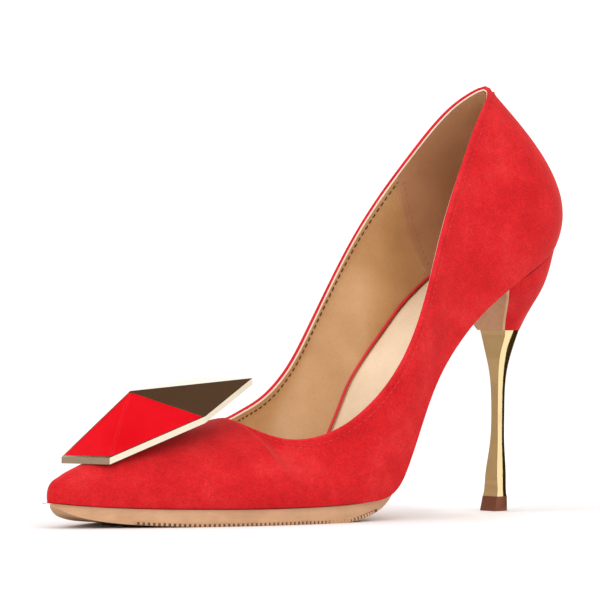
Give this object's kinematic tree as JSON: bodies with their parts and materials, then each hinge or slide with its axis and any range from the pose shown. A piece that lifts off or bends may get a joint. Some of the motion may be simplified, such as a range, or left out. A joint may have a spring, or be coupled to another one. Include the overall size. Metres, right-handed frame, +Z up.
{
  "type": "high heel pump",
  "caption": "Pointed suede court shoe for the left foot with a slim metal stiletto heel and a faceted enamelled plate on the vamp.",
  "frame": {"origin": "centre of the bounding box in plan, on the ground that the tread and the heel tip stand on", "axes": "+Z up, +X from the toe to the heel along the longest side, +Y towards the medial side of the foot"},
  "size_m": [0.2313, 0.072, 0.1574],
  "materials": {
    "suede": "red suede, napped",
    "stiffener": "thermoplastic stiffener sheet",
    "lining": "smooth tan lining leather",
    "grip": "matte tan suede-finish lining",
    "board": "cellulose insole board",
    "foam": "latex foam",
    "sock": "smooth pale sock leather",
    "binding": "red binding",
    "steel": "bright steel",
    "cork": "cork filler",
    "sole": "satin beige sole unit",
    "heel_plastic": "moulded heel plastic",
    "gold": "polished pale gold plate",
    "tip": "brown heel tip",
    "enamel": "glossy red enamel"
  },
  "bodies": {
    "root": {"upper": "suede", "toe_puff": "stiffener", "vamp_backing": "stiffener", "side_reinforcement_lateral": "stiffener", "side_reinforcement_medial": "stiffener", "heel_counter": "stiffener", "toe_lining": "lining", "vamp_lining": "lining", "quarter_lining_lateral": "lining", "quarter_lining_medial": "lining", "heel_grip": "grip", "insole_board": "board", "steel_shank": "steel", "bottom_filler": "cork", "insole_cushion": "foam", "sock_liner": "sock", "sock_binding": "binding", "outsole": "sole", "heel_breast_flap": "sole", "heel_core": "heel_plastic", "heel_cover": "suede", "heel_stem": "gold", "top_piece": "tip", "heel_pin": "steel", "heel_screw": "steel", "heel_nails": "steel", "ornament_plate": "gold", "ornament_enamel": "enamel", "ornament_posts": "steel", "ornament_spacers": "gold", "ornament_washers": "steel"}
  },
  "joints": []
}
